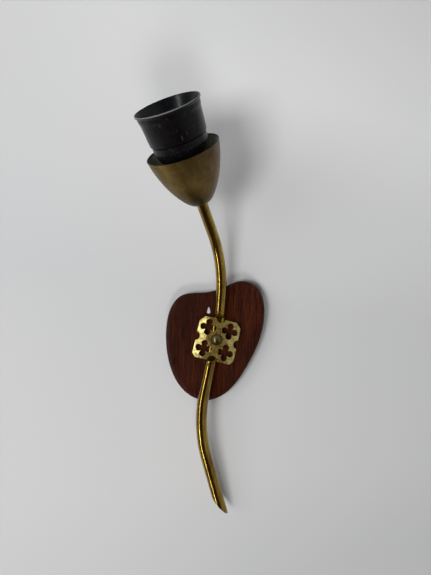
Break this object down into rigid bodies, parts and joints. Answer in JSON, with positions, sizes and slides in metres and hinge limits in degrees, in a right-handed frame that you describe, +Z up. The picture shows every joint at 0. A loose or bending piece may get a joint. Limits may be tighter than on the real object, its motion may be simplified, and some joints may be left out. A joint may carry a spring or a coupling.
{
  "type": "wall lamp",
  "caption": "Flower-shaped electric wall lamp: brass cup with a screw lampholder on a bent brass stem, clamped to a wooden backplate through a pierced rosette.",
  "frame": {"origin": "point on the wall plane where the centre screw's axis meets it, on the backplate's rear face", "axes": "+X right seen from the front, +Y into the wall, +Z up; the lamp stands out towards -Y"},
  "size_m": [0.0902, 0.1128, 0.2831],
  "materials": {
    "teak": "oiled, satin",
    "stem_brass": "old lacquered brass",
    "rosette_brass": "polished, pierced sheet",
    "screw_brass": "polished",
    "steel": "zinc plated",
    "bush": "moulded, matte",
    "cup_brass": "spun, tarnished",
    "plain_brass": "turned, dull",
    "bakelite": "moulded bakelite, worn gloss",
    "porcelain": "glazed porcelain",
    "contact_bronze": "spring bronze"
  },
  "bodies": {
    "lamp": {"backplate": "teak", "stem_tube": "stem_brass", "rosette": "rosette_brass", "screw_ring": "screw_brass", "centre_screw": "screw_brass", "rear_washer": "steel", "rear_nut": "steel", "lead_bush": "bush", "cup": "cup_brass", "threaded_nipple": "plain_brass", "lock_nut": "plain_brass", "base_cap": "bakelite", "cap_lock_screw": "steel", "insert": "porcelain", "insert_screws": "plain_brass", "live_terminal": "plain_brass", "neutral_terminal": "plain_brass", "terminal_screws": "plain_brass", "contact_foot": "contact_bronze", "side_contact": "contact_bronze"},
    "sleeve": {"screw_shell": "plain_brass"},
    "skirt": {"skirt": "bakelite"},
    "contact": {"centre_contact": "contact_bronze"}
  },
  "joints": [
    {"name": "sleeve_lift", "type": "slide", "parent": "lamp", "child": "sleeve", "axis": [-0.3013, -0.6495, 0.6981], "range_m": [0, 0.008]},
    {"name": "skirt_turn", "type": "hinge", "parent": "sleeve", "child": "skirt", "pos_m": [-0.02878, -0.08897, 0.13679], "axis": [-0.3013, -0.6495, 0.6981], "range_deg": [0, 1440]},
    {"name": "contact_press", "type": "hinge", "parent": "lamp", "child": "contact", "pos_m": [-0.03266, -0.07848, 0.12396], "axis": [-0.1152, 0.7516, 0.6495], "range_deg": [0, 9], "stiffness_Nm_per_rad": 0.3, "springref_deg": -1.15}
  ],
  "couplings": [
    {"joint": "sleeve_lift", "follows": "skirt_turn", "m_per_rad": 0.00031831}
  ]
}
